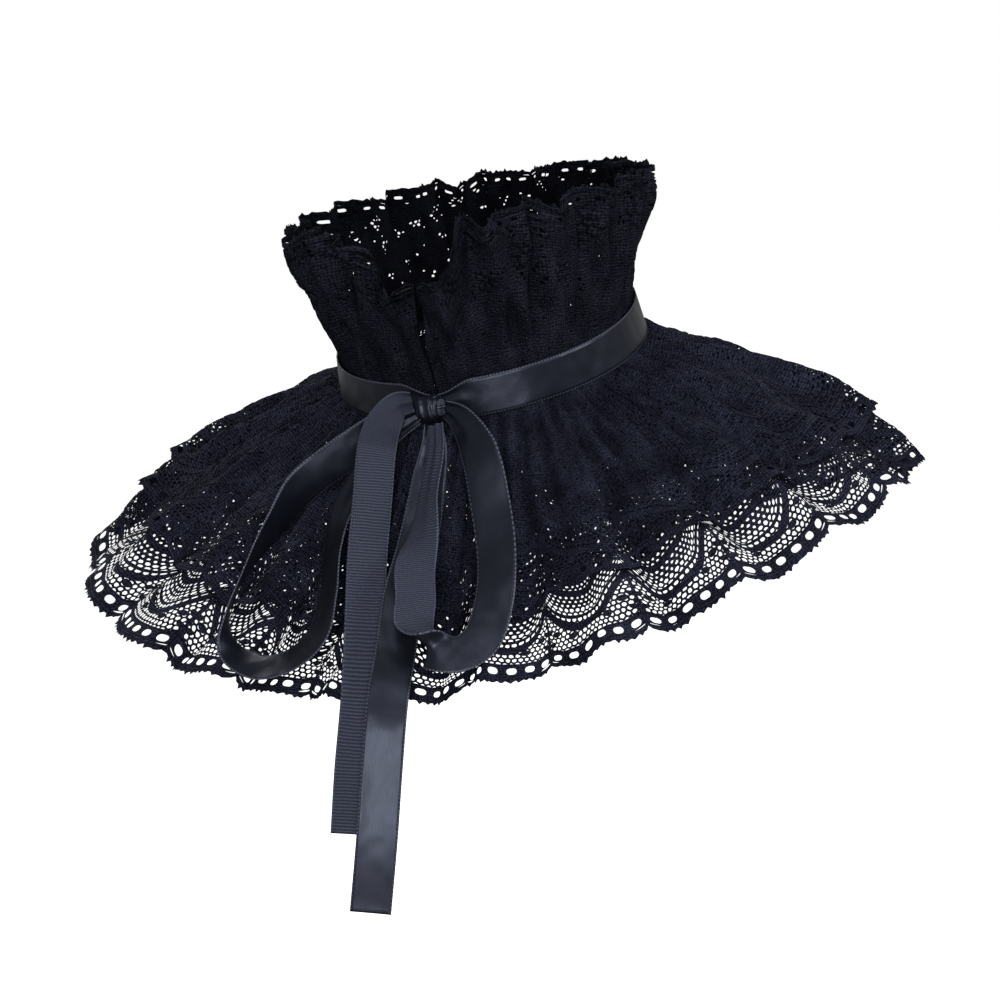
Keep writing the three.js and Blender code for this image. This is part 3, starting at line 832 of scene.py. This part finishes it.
# %% Hang the five laces
LOWER_TOP = 0.05
LOWER_LENGTH = (1 - LOWER_TOP) * TIER_LENGTH
UPPER_LENGTH = UPPER_SHARE * TIER_LENGTH
turn_from = OPENING_AT + OPENING_WIDTH / 2
turn_to = 360 + OPENING_AT - OPENING_WIDTH / 2
back_seam = 180 + OPENING_AT
half_gap = BACK_SEAM_WIDTH / 2
# On each side, between which turns the lower lace hangs, then the upper lace
HALVES = {
    "left": [(turn_from, back_seam - half_gap), (turn_from, back_seam)],
    "right": [(back_seam + half_gap, turn_to), (back_seam, turn_to)],
}
lace_pieces = {}
for side, (lower_turns, upper_turns) in HALVES.items():
    lower = flat_lace(SCALLOPS["lower half"], LOWER_LENGTH)
    piece = hang(lower, f"lower_lace_{side}", lower_surface, -1, lower_turns, 1, LOWER_TOP, TIER_LENGTH)
    lace_pieces[piece] = (f"lower_tier_{side}", (SCALLOPS["lower half"] * SCALLOP, LOWER_LENGTH))
    upper = flat_lace(SCALLOPS["upper half"], UPPER_LENGTH)
    piece = hang(upper, f"upper_lace_{side}", upper_surface, -1, upper_turns, UPPER_SHARE, 0, TIER_LENGTH)
    lace_pieces[piece] = ("upper_tier", (SCALLOPS["upper half"] * SCALLOP, UPPER_LENGTH))
frill = flat_frill(SCALLOPS["frill"], FRILL_LENGTH)
piece = hang(frill, "frill_lace", frill_surface, 1, (turn_to, turn_from), 1, 0, FRILL_LENGTH)
lace_pieces[piece] = ("standing_frill", (SCALLOPS["frill"] * SCALLOP, FRILL_LENGTH))

# %% [markdown]
# ## Satin ribbon
# One ribbon, 15 mm wide, makes the band, the bow and its tails. It is satin on one side and dull, with
# fine cross ribs, on the other. Each length starts as a flat grid and is laid along a smooth curve
# through the same points as its solid. Solidify then gives it its thickness, and puts the dull finish
# on its back.

# %% Set out the ribbon's lengths
RIBBON_WIDTH = 15
# Each row: x, y, z of the ribbon's middle, then the direction of its width, then its width
RIBBONS = {
    "tail_under": [
        (-3, -70, -14, 0.3, 0.3, -0.9, 7),
        (-8, -73, -15, 0.4, 0.3, -0.9, 10),
        (-13, -76, -22, 0.7, 0.3, -0.6, 14),
        (-15, -79, -30, 0.9, 0.4, -0.2, 15),
        (-15, -87, -49, 0.9, 0.4, -0.2, 15),
        (-12, -102, -70, 0.9, 0.4, -0.2, 15),
        (-8, -116, -90, 0.9, 0.4, -0.2, 15),
        (-3, -135, -117, 0.9, 0.4, -0.2, 15),
        (-4, -143, -141, 0.9, 0.4, -0.2, 15),
        (-6, -147, -164, 0.9, 0.4, -0.2, 15),
    ],
    "tail_over": [
        (3, -66, -24, 0.8, 0.6, -0.2, 7),
        (4, -69, -32, 0.8, 0.5, -0.3, 10),
        (4, -76, -44, 0.8, 0.5, -0.3, 13),
        (5, -92, -65, 0.9, 0.4, -0.2, 15),
        (6, -110, -82, 0.9, 0.4, -0.2, 15),
        (8, -124, -99, 0.9, 0.4, -0.2, 15),
        (10, -139, -116, 0.9, 0.4, -0.2, 15),
        (9, -147, -140, 0.9, 0.4, -0.2, 15),
        (7, -152, -164, 0.9, 0.4, -0.2, 15),
        (3, -155, -191, 0.9, 0.4, -0.2, 15),
    ],
    "loop_right": [
        (-3, -67, -18, 0, 0.5, -0.9, 7),
        (-15, -71, -22, 0.4, 0.4, -0.8, 11),
        (-31, -74, -32, 0.3, 0.5, -0.8, 15),
        (-47, -80, -43, 0.3, 0.6, -0.7, 15),
        (-56, -89, -56, 0, 0.9, -0.4, 15),
        (-62, -104, -71, -0.3, 0.9, -0.1, 15),
        (-64, -118, -86, -0.4, 0.9, 0.1, 15),
        (-59, -126, -99, -0.2, 0.9, 0.4, 15),
        (-47, -129, -105, -0.3, 0.8, 0.4, 15),
        (-35, -127, -103, -0.5, 0.8, 0.4, 15),
        (-26, -123, -96, -0.7, 0.7, 0.3, 15),
        (-25, -112, -83, -0.7, 0.7, 0.1, 15),
        (-28, -98, -66, -0.7, 0.7, 0.1, 15),
        (-28, -83, -49, -0.9, 0.5, 0.2, 13),
        (-17, -70, -30, -0.8, 0.3, 0.4, 9),
        (-3, -65.5, -21, -0.6, 0.6, 0.5, 6),
    ],
    "loop_left": [
        (9, -66, -18, 0.5, -0.3, 0.8, 7),
        (16, -69, -22, 0.6, 0, 0.8, 11),
        (25, -75, -33, 1, 0.1, 0.3, 15),
        (33, -86, -51, 1, 0.3, 0, 15),
        (41, -102, -72, 1, 0, -0.1, 15),
        (43, -113, -87, 1, 0, -0.2, 15),
        (41, -122, -98, 0.8, -0.2, -0.6, 15),
        (34, -128, -102, 0.5, -0.4, -0.7, 15),
        (24, -130, -99, 0.7, -0.1, -0.8, 15),
        (16, -124, -92, 0.8, 0.2, -0.6, 15),
        (14, -117, -83, 0.8, 0.2, -0.5, 15),
        (11, -109, -73, 0.9, 0.2, -0.4, 15),
        (11, -101, -63, 0.9, -0.3, -0.2, 14),
        (9, -89, -49, 0.8, -0.6, -0.1, 12),
        (9, -78, -32, 0.9, -0.5, -0.1, 9),
        (8, -74, -23, 1, -0.3, 0.1, 7),
    ],
}

print("points along the ribbons:", {name: len(rows) for name, rows in RIBBONS.items()})

# %% Run a smooth path through points
def smooth_path(rows, at):
    """A centripetal Catmull-Rom curve through rows. at runs from 0 to 1."""
    rows = np.asarray(rows, float)
    whole = np.vstack([2 * rows[0] - rows[1], rows, 2 * rows[-1] - rows[-2]])
    i = np.minimum((at * (len(rows) - 1)).astype(int), len(rows) - 2)
    t = (at * (len(rows) - 1) - i)[:, None]
    a, b, c, d = (whole[i + k] for k in range(4))
    steps = (np.linalg.norm(q - p, axis=1)[:, None] for p, q in ((a, b), (b, c), (c, d)))
    ab, bc, cd = (np.maximum(step**0.5, 1e-4) for step in steps)
    leave = ((b - a) / ab - (c - a) / (ab + bc) + (c - b) / bc) * bc
    arrive = ((c - b) / bc - (d - b) / (bc + cd) + (d - c) / cd) * bc
    bend = (3 * (c - b) - 2 * leave - arrive) * t**2 + (2 * (b - c) + leave + arrive) * t**3
    return b + leave * t + bend


loop_middle = smooth_path(RIBBONS["loop_left"], np.array([0.5]))
print("middle of the left loop, its direction and its width:", loop_middle.round(1).tolist())

# %% Lay a ribbon along its path
RIBBON_THICKNESS = 0.4
RIBBON_STEP = 1.2
RIBBON_ROWS = 12
PATH_STEPS = 400
RIBBON_PLEAT = 1.3
RIBBON_CUP = 0.35


def flat_ribbon(name, length, columns, rows, facing):
    """A flat ribbon. Its points run from 0 to 1 along x and from -0.5 to 0.5 across, along y."""
    bm = bmesh.new()
    flat_grid(bm, columns, rows, 0, 1, -0.5, 0.5)
    keep_flat(bm, lambda place: (place.x * length, place.y * RIBBON_WIDTH))
    if facing < 0:
        bmesh.ops.reverse_faces(bm, faces=bm.faces)
    return as_object(bm, name)


def lay_ribbon(name, rows, facing):
    """A ribbon through rows, satin on the side that facing gives. Returns it and its length."""
    rows = np.array(rows)
    path = smooth_path(rows[:, :3], np.linspace(0, 1, PATH_STEPS))
    length = np.linalg.norm(np.diff(path, axis=0), axis=1).sum()
    piece = flat_ribbon(name, length, round(length / RIBBON_STEP), RIBBON_ROWS, facing)
    t, side = points_of(piece)[:, :2].T
    after, before = (smooth_path(rows[:, :3], np.clip(t + step, 0, 1)) for step in (STEP, -STEP))
    ahead = unit(after - before)
    across = smooth_path(rows[:, 3:6], t)
    across = unit(across - ahead * (across * ahead).sum(axis=1)[:, None])
    out = np.cross(ahead, across)
    width = np.interp(t * (len(rows) - 1), np.arange(len(rows)), rows[:, 6])
    drawn_in = 1 - width / RIBBON_WIDTH
    pleat = RIBBON_PLEAT * drawn_in * np.cos(4 * np.pi * side + 2 * t)
    cup = RIBBON_CUP * (4 * side**2 - 0.5) * np.sin(5 * t + len(rows))
    middle = smooth_path(rows[:, :3], t)
    move_points(piece, middle + across * (side * width)[:, None] + out * (pleat + cup)[:, None])
    print(name, "is", round(length), "mm long")
    return piece, length


def thicken(piece, thickness):
    """Gives a sheet its thickness, with its second material on the back."""
    solidify = piece.modifiers.new("thickness", "SOLIDIFY")
    solidify.thickness = thickness * MM
    solidify.offset = 0
    solidify.material_offset = 1
    solidify.material_offset_rim = 1


ribbon_lengths = {}
SATIN_FACING = {"tail_under": -1, "tail_over": 1, "loop_right": 1, "loop_left": 1}
for name, rows in RIBBONS.items():
    piece, length = lay_ribbon(f"{name}_ribbon", rows, SATIN_FACING[name])
    thicken(piece, RIBBON_THICKNESS)
    ribbon_lengths[piece] = (name if "tail" in name else f"bow_{name}", length)

# %% [markdown]
# ## The band and the knot
# The band is the same ribbon, laid round the neck over the seam. It narrows where it is drawn into the
# knot. The knot is the ribbon wrapped once round itself: a rounded block with pleats that run round it.

# %% Lay the band round the neck
BAND = {
    "radius": 62, "slope": 0.12, "middle": 3, "taper": 14,
    "knot width": 6, "pleat": 0.9, "waver": 0.25,
}
BAND_GAP = 0.6
BAND_GRID = (300, 10)
KNOT = {
    "middle": (2.5, -65.8, -17.4), "half": (5.2, 6, 5.2), "squareness": 0.7,
    "pleats": 4, "crease": 0.11, "twist": 1.5, "round": 12, "across": 8,
}
knot_at = np.degrees(np.arcsin(KNOT["middle"][0] / BAND["radius"]))
band_from = knot_at + BAND_GAP
band_to = knot_at + 360 - BAND_GAP
band_length = np.radians(band_to - band_from) * BAND["radius"]
band = flat_ribbon("neck_band", band_length, *BAND_GRID, facing=1)
share, height = points_of(band)[:, :2].T
degrees = band_from + share * (band_to - band_from)
near = rise(0, BAND["taper"], np.minimum(degrees - band_from, band_to - degrees))
up_band = BAND["middle"] + height * (BAND["knot width"] + (RIBBON_WIDTH - BAND["knot width"]) * near)
pleat = BAND["pleat"] * (1 - near) * np.cos(4 * np.pi * height)
waver = BAND["waver"] * np.sin(23 * share) * height
radius = BAND["radius"] - BAND["slope"] * up_band + pleat + waver
move_points(band, ring_point(np.radians(degrees), radius, up_band, NECK_TILT))
thicken(band, RIBBON_THICKNESS)
ribbon_lengths[band] = ("neck_ribbon", band_length)
print("band is", round(band_length), "mm long")

# %% Wrap the knot
bm = bmesh.new()
bmesh.ops.create_uvsphere(bm, u_segments=64, v_segments=40, radius=1)
keep_flat(bm, lambda place: (place.z * KNOT["round"], place.x * KNOT["across"]))
for v in bm.verts:
    fold = 0.5 + 0.5 * np.cos(KNOT["pleats"] * np.pi * v.co.x + KNOT["twist"] * v.co.z)
    drawn_in = 1 - KNOT["crease"] * fold * (1 - v.co.x**2)
    square = [np.sign(x) * abs(x) ** KNOT["squareness"] * drawn_in for x in v.co]
    v.co = Vector(m + h * s for m, h, s in zip(KNOT["middle"], KNOT["half"], square)) * MM
knot = as_object(bm, "bow_knot_wrap")
print("knot:", len(knot.data.polygons), "faces")

# %% [markdown]
# ## Shader maths as Python
# The finishes are worked out from the cloth's own flat measures, so a weave runs along its ribbon
# wherever it turns. One small class lets us write that as plain sums, and adds the Math nodes behind
# them.

# %% A class for a value in a finish
def add_node(tree, kind, settings=(), inputs=()):
    """Adds a node of a kind. Settings are set first, then the values or links of its sockets."""
    made = tree.nodes.new(kind)
    for name, value in dict(settings).items():
        setattr(made, name, value)
    for name, value in dict(inputs).items():
        if isinstance(value, Value):
            tree.links.new(value.socket, made.inputs[name])
        else:
            made.inputs[name].default_value = value
    return made


class Value:
    """A number that changes over the surface. Python's operators add Math nodes to it."""

    def __init__(self, tree, socket):
        self.tree = tree
        self.socket = socket

    def maths(self, operation, *values):
        made = add_node(self.tree, "ShaderNodeMath", {"operation": operation}, enumerate(values))
        return Value(self.tree, made.outputs[0])

    def __add__(self, other):
        return self.maths("ADD", self, other)

    def __sub__(self, other):
        return self.maths("SUBTRACT", self, other)

    def __rsub__(self, other):
        return self.maths("SUBTRACT", other, self)

    def __mul__(self, other):
        return self.maths("MULTIPLY", self, other)

    def __truediv__(self, other):
        return self.maths("DIVIDE", self, other)

    __radd__ = __add__
    __rmul__ = __mul__

    def wave(self):
        """From 0 to 1 and back with every whole number."""
        return self.maths("SINE", self * (2 * np.pi)) * 0.5 + 0.5

    def power(self, exponent):
        return self.maths("POWER", self, exponent)


print("a value takes + - * / and is waved or raised to a power")

# %% A class for a finish
class Finish:
    """A material with one shader, and the flat measures of its cloth in millimetres."""

    def __init__(self, name, **constants):
        self.material = bpy.data.materials.new(name)
        self.material.use_nodes = True
        self.tree = self.material.node_tree
        self.shader = self.tree.nodes["Principled BSDF"]
        for socket, value in constants.items():
            self.shader.inputs[socket.replace("_", " ")].default_value = value
        flat = add_node(self.tree, "ShaderNodeUVMap", {"uv_map": "flat"})
        apart = add_node(self.tree, "ShaderNodeSeparateXYZ", (), {0: Value(self.tree, flat.outputs[0])})
        self.flat = Value(self.tree, flat.outputs[0])
        self.lengthways = Value(self.tree, apart.outputs[0]) * 1000
        self.crossways = Value(self.tree, apart.outputs[1]) * 1000

    def noise(self, per_mm, detail=2.0, stretch=(1, 1, 1)):
        """Smooth chance from 0 to 1, with so many blots to a millimetre of the flat cloth."""
        size = [1000 * per_mm * x for x in stretch]
        placed = add_node(self.tree, "ShaderNodeMapping", (), {"Vector": self.flat, "Scale": size})
        inputs = {"Vector": Value(self.tree, placed.outputs[0]), "Scale": 1.0, "Detail": detail}
        made = add_node(self.tree, "ShaderNodeTexNoise", (), inputs)
        return Value(self.tree, made.outputs[0])

    def between(self, share, low, high):
        """A colour between two others. Each is three numbers, or a colour made this way before."""
        low, high = (x if isinstance(x, Value) else (*x, 1) for x in (low, high))
        made = add_node(self.tree, "ShaderNodeMix", {"data_type": "RGBA"}, {0: share, 6: low, 7: high})
        return Value(self.tree, made.outputs[2])

    def feed(self, **values):
        for socket, value in values.items():
            self.tree.links.new(value.socket, self.shader.inputs[socket.replace("_", " ")])

    def bump(self, height, distance_mm, strength=1.0):
        made = add_node(
            self.tree, "ShaderNodeBump", (),
            {"Height": height, "Distance": distance_mm * MM, "Strength": strength},
        )
        self.feed(Normal=Value(self.tree, made.outputs[0]))


print("finishes use the flat measures in the UV map named flat")

# %% [markdown]
# ## The lace's thread
# Up close the darned parts are a fine knit of soft black cotton with a little blue in it. Two crossed
# waves of about a millimetre make its stitches, and slow chance changes its depth of colour. It is
# dull: a black thread that shone would turn grey in a white studio. The frill's thread is darker than
# the tiers'. The side of the frill that faces the neck is darker still, as painted shade for the hollow
# within the frill, so the frill gets its own thickness and two finishes.

# %% The finish of the lace
STITCH = 1.15
FRILL_THICKNESS = 0.3
THREAD_SHINE = {"Specular_IOR_Level": 0.04, "Specular_Tint": (0.7, 0.75, 1.0, 1)}
# Each lace's colour in the grooves of its stitches, then on their crests
TIER_BLACKS = ((0.0010, 0.0011, 0.0020), (0.070, 0.077, 0.132))
FRILL_BLACKS = ((0.0008, 0.0009, 0.0014), (0.046, 0.050, 0.078))
# The frill's inner side: painted shade, darker than its thread, for the hollow within the frill
INNER_PAINTED_SHADE = ((0.0005, 0.0005, 0.0009), (0.016, 0.017, 0.027))


def lace_finish(name, blacks):
    """A finish for knitted thread, with a colour for its grooves and one for its crests."""
    lace = Finish(name, **THREAD_SHINE)
    wander = lace.noise(0.5) * 1.6
    rows = (lace.crossways / STITCH + wander).wave()
    stitch = rows * 0.6 + (lace.lengthways / STITCH + wander).wave() * 0.4
    fuzz = lace.noise(0.9, 3.0)
    blots = lace.noise(0.07, 4.0)
    # Each number is how much of a pattern goes into the colour, and below into the relief
    crest = (stitch * 0.35 + fuzz * 0.6 + blots * 0.5 - 0.25).power(2.8)
    lace.feed(Base_Color=lace.between(crest, *blacks))
    lace.feed(Roughness=0.95 - stitch * 0.2)
    lace.bump(stitch * 0.35 + fuzz * 1.9 + blots * 2.0, 0.7)
    return lace.material


outside = lace_finish("black_lace_thread", TIER_BLACKS)
darker = lace_finish("black_thread_of_the_frill", FRILL_BLACKS)
# A finish of painted shade for the frill's inner side
frill_inner_painted_shade = lace_finish("painted_shade_of_the_frills_inner_side", INNER_PAINTED_SHADE)
for piece in lace_pieces:
    piece.data.materials.append(darker if piece.name == "frill_lace" else outside)
frill_piece = bpy.data.objects["frill_lace"]
# The frill's inner side takes the painted-shade finish
frill_piece.data.materials.append(frill_inner_painted_shade)
thicken(frill_piece, FRILL_THICKNESS)
print("lace finish on", len(lace_pieces), "pieces")

# %% [markdown]
# ## The ribbon's two sides
# Satin floats its long threads on the face, so the face shines and shows only faint lines along its
# length. The back is dull and shows a rib across the ribbon every millimetre. Both edges have a narrow
# selvedge, dotted with the pale knots of its edge thread.

# %% The finishes of the ribbon
SATIN_SHINE = {"Specular_IOR_Level": 0.32, "Specular_Tint": (0.68, 0.75, 1.0, 1)}
BACK_SHINE = {"Specular_IOR_Level": 0.3, "Specular_Tint": (0.72, 0.78, 1.0, 1)}
SATIN_BLACKS = ((0.0015, 0.002, 0.003), (0.006, 0.007, 0.012))
BACK_BLACKS = ((0.003, 0.0035, 0.006), (0.034, 0.038, 0.060))
PALE_KNOTS = (0.085, 0.095, 0.13)
SELVEDGE_WIDTH = 0.55
KNOT_SPACING = 1.3
KNOT_PALENESS = 0.7
RIB = 1.0
CROSS_THREAD = 0.8


def selvedge(finish):
    """From 0 to 1 along the small knots at the ribbon's edges, and 0 between the edges."""
    from_middle = finish.crossways.maths("ABSOLUTE", finish.crossways)
    edge = from_middle.maths("GREATER_THAN", from_middle, RIBBON_WIDTH / 2 - SELVEDGE_WIDTH)
    return edge * (finish.lengthways / KNOT_SPACING).wave()


satin = Finish("satin_face", **SATIN_SHINE)
threads = satin.noise(4.0, 2.0, (0.06, 1, 1))
cloud = satin.noise(0.04, 2.0)
edge = selvedge(satin)
woven = satin.between(threads * 0.5 + cloud * 0.5, *SATIN_BLACKS)
satin.feed(Base_Color=satin.between(edge * KNOT_PALENESS, woven, PALE_KNOTS))
satin.feed(Roughness=0.31 + threads * 0.10 + edge * 0.25)
satin.bump(threads * 0.04 - edge * 0.05 + cloud * 2.4, 1.0)

ribbed = Finish("ribbed_back", **BACK_SHINE)
rib = (ribbed.lengthways / RIB + ribbed.noise(0.25) * 0.5).wave()
cross_threads = (ribbed.crossways / CROSS_THREAD).wave()
weave = rib * 0.7 + cross_threads * 0.25 + ribbed.noise(1.5) * 0.2
edge = selvedge(ribbed)
woven = ribbed.between(weave, *BACK_BLACKS)
ribbed.feed(Base_Color=ribbed.between(edge * KNOT_PALENESS, woven, PALE_KNOTS))
ribbed.feed(Roughness=0.7 - rib * 0.25)
ribbed.bump(weave, 0.28)
for piece in [*ribbon_lengths, knot]:
    piece.data.materials.append(satin.material)
    piece.data.materials.append(ribbed.material)
print("ribbon finish on", len(ribbon_lengths) + 1, "pieces")

# %% [markdown]
# ## Putting each piece in place
# Each piece rides on the collar's one body and takes the place of its solid.

# %% Ride and replace
for piece, (solid, (width, length)) in lace_pieces.items():
    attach(piece, "root")
    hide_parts(solid)
    length * MM
for piece, (solid, length) in ribbon_lengths.items():
    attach(piece, "root")
    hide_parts(solid)
    length * MM
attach(knot, "root")
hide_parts("bow_knot")
print("solids replaced:", len(lace_pieces) + len(ribbon_lengths) + 1)

# %% [markdown]
# ## The studio
# A white room: a wide pale floor well below the collar and a pale sky. Five lamps light the cloth: one
# behind the camera, which the satin mirrors, one at the side, one above, one at the back and a white
# board below. The floor is seen but throws no light on the cloth. The sky looks white to the camera but
# lights the cloth only softly, as black cloth in a real studio is lit mostly by its lamps.

# %% The floor
FLOOR_LEVEL = -0.42
FLOOR_RADIUS = 14
FLOOR_LOOK = {
    "Base Color": (0.9, 0.9, 0.9, 1),
    "Roughness": 0.9,
    "Emission Color": (1, 1, 1, 1),
    "Emission Strength": 0.78,
}
bm = bmesh.new()
bmesh.ops.create_circle(bm, cap_ends=True, segments=96, radius=FLOOR_RADIUS)
bmesh.ops.translate(bm, verts=bm.verts, vec=(0, 0, FLOOR_LEVEL))
floor = as_object(bm, "studio_floor")
paper = bpy.data.materials.new("pale_floor")
paper.use_nodes = True
for socket, value in FLOOR_LOOK.items():
    paper.node_tree.nodes["Principled BSDF"].inputs[socket].default_value = value
floor.data.materials.append(paper)
floor.visible_diffuse = False
floor.visible_glossy = False
print("floor at", FLOOR_LEVEL, "m")

# %% The sky
SKY_LIGHT = 0.35
world = bpy.data.worlds.new("studio")
world.use_nodes = True
bpy.context.scene.world = world
sky = world.node_tree.nodes["Background"]
sky.inputs["Color"].default_value = (1, 1, 1, 1)
ray = add_node(world.node_tree, "ShaderNodeLightPath")
seen = Value(world.node_tree, ray.outputs["Is Camera Ray"])
world.node_tree.links.new((seen * (1 - SKY_LIGHT) + SKY_LIGHT).socket, sky.inputs["Strength"])
print("the sky lights the cloth with", SKY_LIGHT, "of what the camera sees")

# %% The lamps
LIGHTS = {
    "key": {"place": (0.55, -1.36, 0.08), "size": 0.6, "power": 17},
    "side": {"place": (1.25, -0.1, 0.55), "size": 0.4, "power": 11},
    "above": {"place": (0.33, -0.91, 1.15), "size": 0.5, "power": 4},
    "back": {"place": (-0.7, 0.8, 1.1), "size": 0.6, "power": 20},
    "white board below": {"place": (0.45, -0.95, -0.85), "size": 0.6, "power": 5},
}
for name, row in LIGHTS.items():
    lamp = bpy.data.objects.new(name, bpy.data.lights.new(name, "AREA"))
    lamp.data.size = row["size"]
    lamp.data.energy = row["power"]
    lamp.location = row["place"]
    lamp.rotation_euler = (-Vector(row["place"])).to_track_quat("-Z", "Y").to_euler()
    bpy.context.collection.objects.link(lamp)
bpy.context.scene.view_settings.view_transform = "Standard"
print("lights:", ", ".join(LIGHTS))
